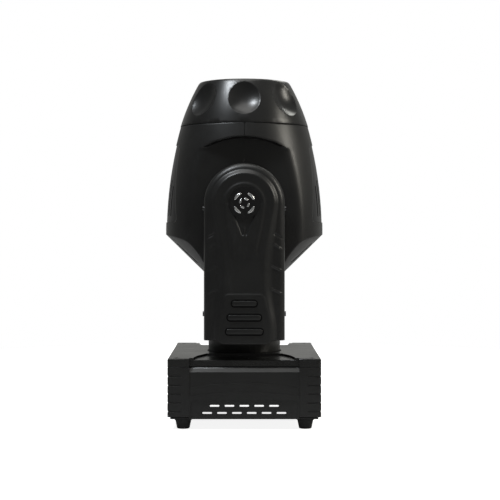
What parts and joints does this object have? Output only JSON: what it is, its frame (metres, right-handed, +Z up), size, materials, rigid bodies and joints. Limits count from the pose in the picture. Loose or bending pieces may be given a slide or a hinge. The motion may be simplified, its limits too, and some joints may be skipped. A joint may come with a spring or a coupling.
{
  "type": "moving head light",
  "caption": "Stage light with a round tapering head that tilts in a two-armed yoke, which pans on a box base with a display, buttons and sockets.",
  "frame": {"origin": "on the floor under the centre of the base, at the underside of the rubber feet", "axes": "+Z up; +X out of the control panel at the front; Y along the tilt axis, with the left arm at -Y and the right arm at +Y"},
  "size_m": [0.256, 0.306, 0.5455],
  "materials": {
    "black_plastic": "satin moulded",
    "gloss_black": "gloss",
    "black_steel": "powder coat",
    "rubber": "matte",
    "aluminium": "machined",
    "steel": "zinc plated",
    "board": "satin",
    "glass": "coated"
  },
  "bodies": {
    "base": {"base_plate": "black_steel", "rubber_feet": "rubber", "corner_guard_front_left": "black_plastic", "corner_guard_front_right": "black_plastic", "corner_guard_rear_left": "black_plastic", "corner_guard_rear_right": "black_plastic", "left_vent_panel": "black_plastic", "right_vent_panel": "black_plastic", "base_top_cover": "black_plastic", "cover_screws": "steel", "control_panel": "black_steel", "display_window": "gloss_black", "connector_panel": "black_steel", "power_inlet": "black_steel", "dmx_in_socket": "black_steel", "dmx_out_socket": "black_steel", "main_board": "board", "power_supply": "steel", "base_chassis": "black_steel", "pan_bearing": "aluminium", "pan_motor": "steel", "pan_belt": "rubber"},
    "menu_button": {"menu_button": "rubber"},
    "up_button": {"up_button": "rubber"},
    "down_button": {"down_button": "rubber"},
    "enter_button": {"enter_button": "rubber"},
    "pan_motor_pulley": {"pan_motor_pulley": "aluminium"},
    "yoke": {"pan_shaft": "aluminium", "pan_turret": "black_steel", "bridge_plate": "black_steel", "left_upright": "black_steel", "right_upright": "black_steel", "tilt_bearings": "aluminium", "tilt_motor": "steel", "tilt_belt": "rubber", "left_arm_cover": "black_plastic", "right_arm_cover": "black_plastic", "left_arm_liner": "black_plastic", "right_arm_liner": "black_plastic", "arm_screws": "steel", "arm_badges": "gloss_black", "bridge_cover": "black_plastic"},
    "tilt_motor_pulley": {"tilt_motor_pulley": "aluminium"},
    "head": {"head_shell_front": "black_plastic", "head_shell_rear": "black_plastic", "front_side_vent": "black_plastic", "rear_side_vent": "black_plastic", "rear_cover": "black_plastic", "front_bezel": "black_plastic", "front_lens": "glass", "tilt_axles": "aluminium", "head_frame": "black_steel", "head_motors": "steel", "light_engine": "aluminium", "head_fan_frame": "black_plastic"},
    "colour_wheel": {"colour_wheel": "aluminium"},
    "gobo_wheel": {"gobo_wheel": "aluminium"},
    "focus_carriage": {"focus_carriage": "aluminium", "focus_lens": "glass"},
    "head_fan_rotor": {"head_fan_rotor": "black_plastic"}
  },
  "joints": [
    {"name": "pan", "type": "hinge", "parent": "base", "child": "yoke", "pos_m": [0, 0, 0.105], "axis": [0, 0, 1], "range_deg": [-270, 270]},
    {"name": "tilt", "type": "hinge", "parent": "yoke", "child": "head", "pos_m": [0, 0, 0.346], "axis": [0, 1, 0], "range_deg": [-135, 135]},
    {"name": "pan_motor_spin", "type": "hinge", "parent": "base", "child": "pan_motor_pulley", "pos_m": [0, -0.08, 0.052], "axis": [0, 0, 1], "continuous": true},
    {"name": "tilt_motor_spin", "type": "hinge", "parent": "yoke", "child": "tilt_motor_pulley", "pos_m": [0, 0.142, 0.262], "axis": [0, 1, 0], "continuous": true},
    {"name": "colour_wheel_spin", "type": "hinge", "parent": "head", "child": "colour_wheel", "pos_m": [0.044, 0, 0.331], "axis": [0, 0, 1], "continuous": true},
    {"name": "gobo_wheel_spin", "type": "hinge", "parent": "head", "child": "gobo_wheel", "pos_m": [-0.044, 0, 0.346], "axis": [0, 0, 1], "continuous": true},
    {"name": "focus_slide", "type": "slide", "parent": "head", "child": "focus_carriage", "axis": [0, 0, 1], "range_m": [-0.028, 0.028]},
    {"name": "head_fan_spin", "type": "hinge", "parent": "head", "child": "head_fan_rotor", "pos_m": [0, 0, 0.245], "axis": [0, 0, 1], "continuous": true},
    {"name": "menu_press", "type": "slide", "parent": "base", "child": "menu_button", "axis": [-1, 0, 0], "range_m": [0, 0.0012], "stiffness_N_per_m": 400, "springref_m": -0.001},
    {"name": "up_press", "type": "slide", "parent": "base", "child": "up_button", "axis": [-1, 0, 0], "range_m": [0, 0.0012], "stiffness_N_per_m": 400, "springref_m": -0.001},
    {"name": "down_press", "type": "slide", "parent": "base", "child": "down_button", "axis": [-1, 0, 0], "range_m": [0, 0.0012], "stiffness_N_per_m": 400, "springref_m": -0.001},
    {"name": "enter_press", "type": "slide", "parent": "base", "child": "enter_button", "axis": [-1, 0, 0], "range_m": [0, 0.0012], "stiffness_N_per_m": 400, "springref_m": -0.001}
  ],
  "couplings": [
    {"joint": "pan_motor_spin", "follows": "pan", "ratio": 6},
    {"joint": "tilt_motor_spin", "follows": "tilt", "ratio": 5}
  ]
}
